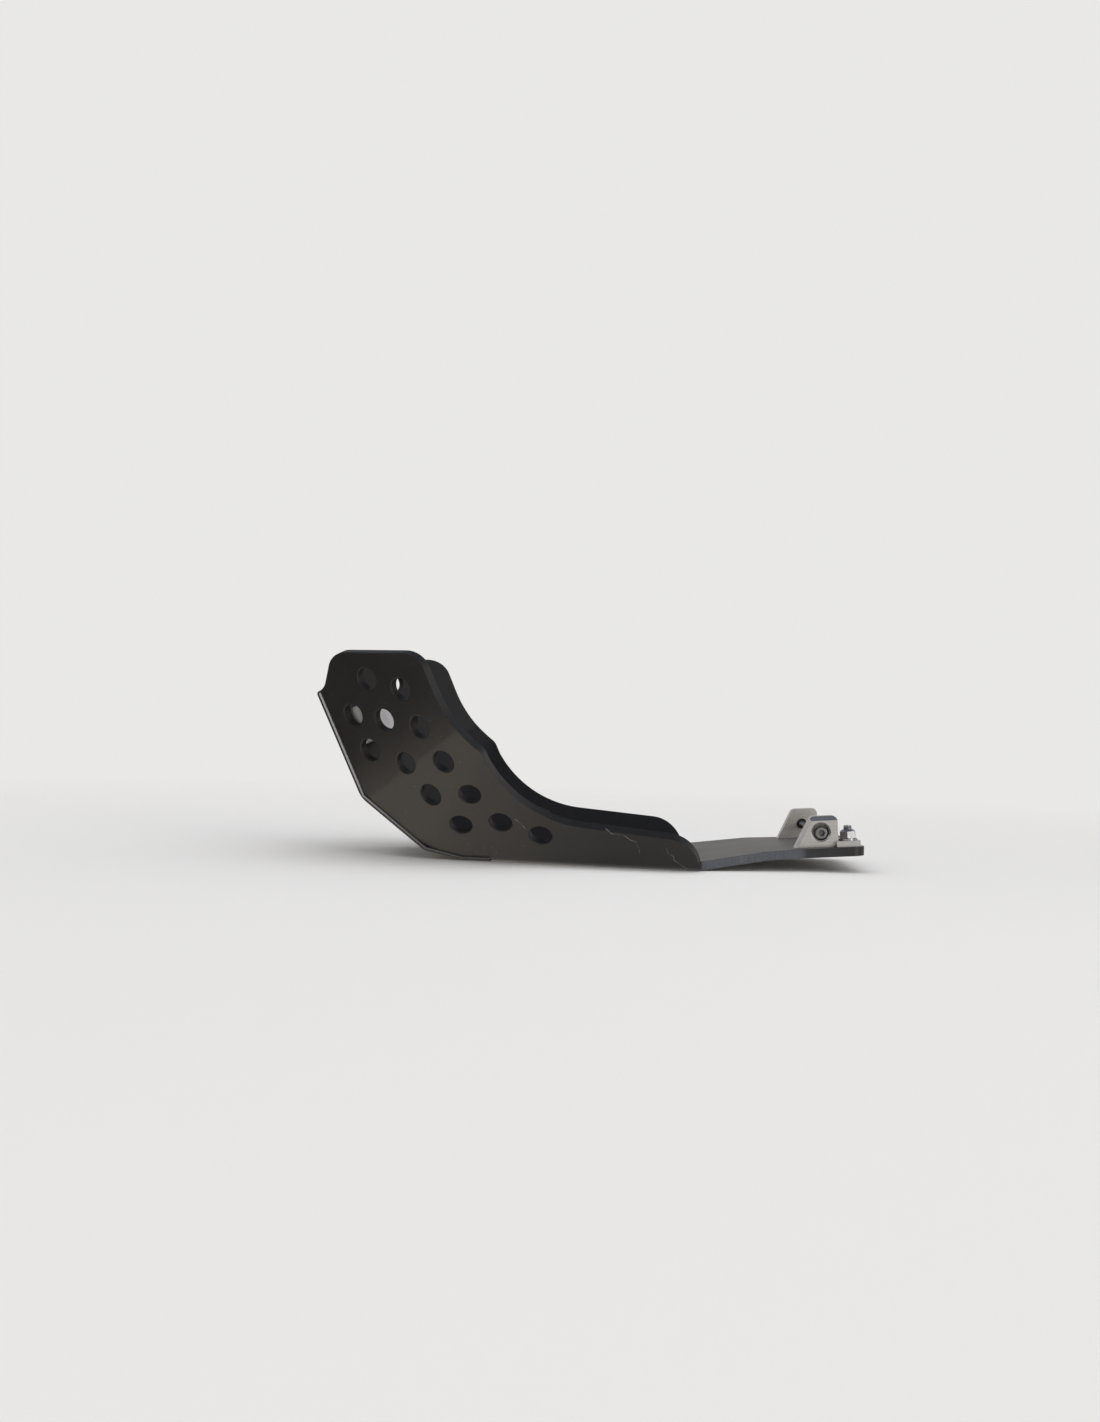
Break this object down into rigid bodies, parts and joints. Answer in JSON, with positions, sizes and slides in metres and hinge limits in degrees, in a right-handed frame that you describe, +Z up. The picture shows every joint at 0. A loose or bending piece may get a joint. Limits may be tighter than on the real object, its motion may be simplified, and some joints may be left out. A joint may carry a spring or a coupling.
{
  "type": "motorcycle skid plate",
  "caption": "Folded black plastic skid plate with drilled flared wings, a flat floor and a narrow tail, held under an engine by machined rear brackets and hooks over the front frame tubes.",
  "frame": {"origin": "middle of the part's box, at the level of the floor's underside", "axes": "+X to the rear of the bike, +Y to its right-hand side, +Z up"},
  "size_m": [0.3646, 0.2362, 0.1356],
  "materials": {
    "plate": "black polyethylene sheet with a satin face and sawn edges",
    "bracket": "bright machined",
    "clamp": "machined",
    "fastener": "zinc plated",
    "screw": "plain steel"
  },
  "bodies": {
    "root": {"skid_plate": "plate", "rear_bracket_left": "bracket", "rear_bracket_right": "bracket", "frame_screw_left": "screw", "frame_screw_right": "screw", "front_clamp_left": "clamp", "front_clamp_right": "clamp", "rear_plate_bolt_left": "fastener", "rear_plate_bolt_right": "fastener", "rear_washer_left": "fastener", "rear_washer_right": "fastener", "rear_lock_nut_left": "fastener", "rear_lock_nut_right": "fastener", "front_clamp_bolt_left": "fastener", "front_clamp_bolt_right": "fastener", "front_clamp_washer_left": "fastener", "front_clamp_washer_right": "fastener", "front_clamp_nut_left": "fastener", "front_clamp_nut_right": "fastener"}
  },
  "joints": []
}
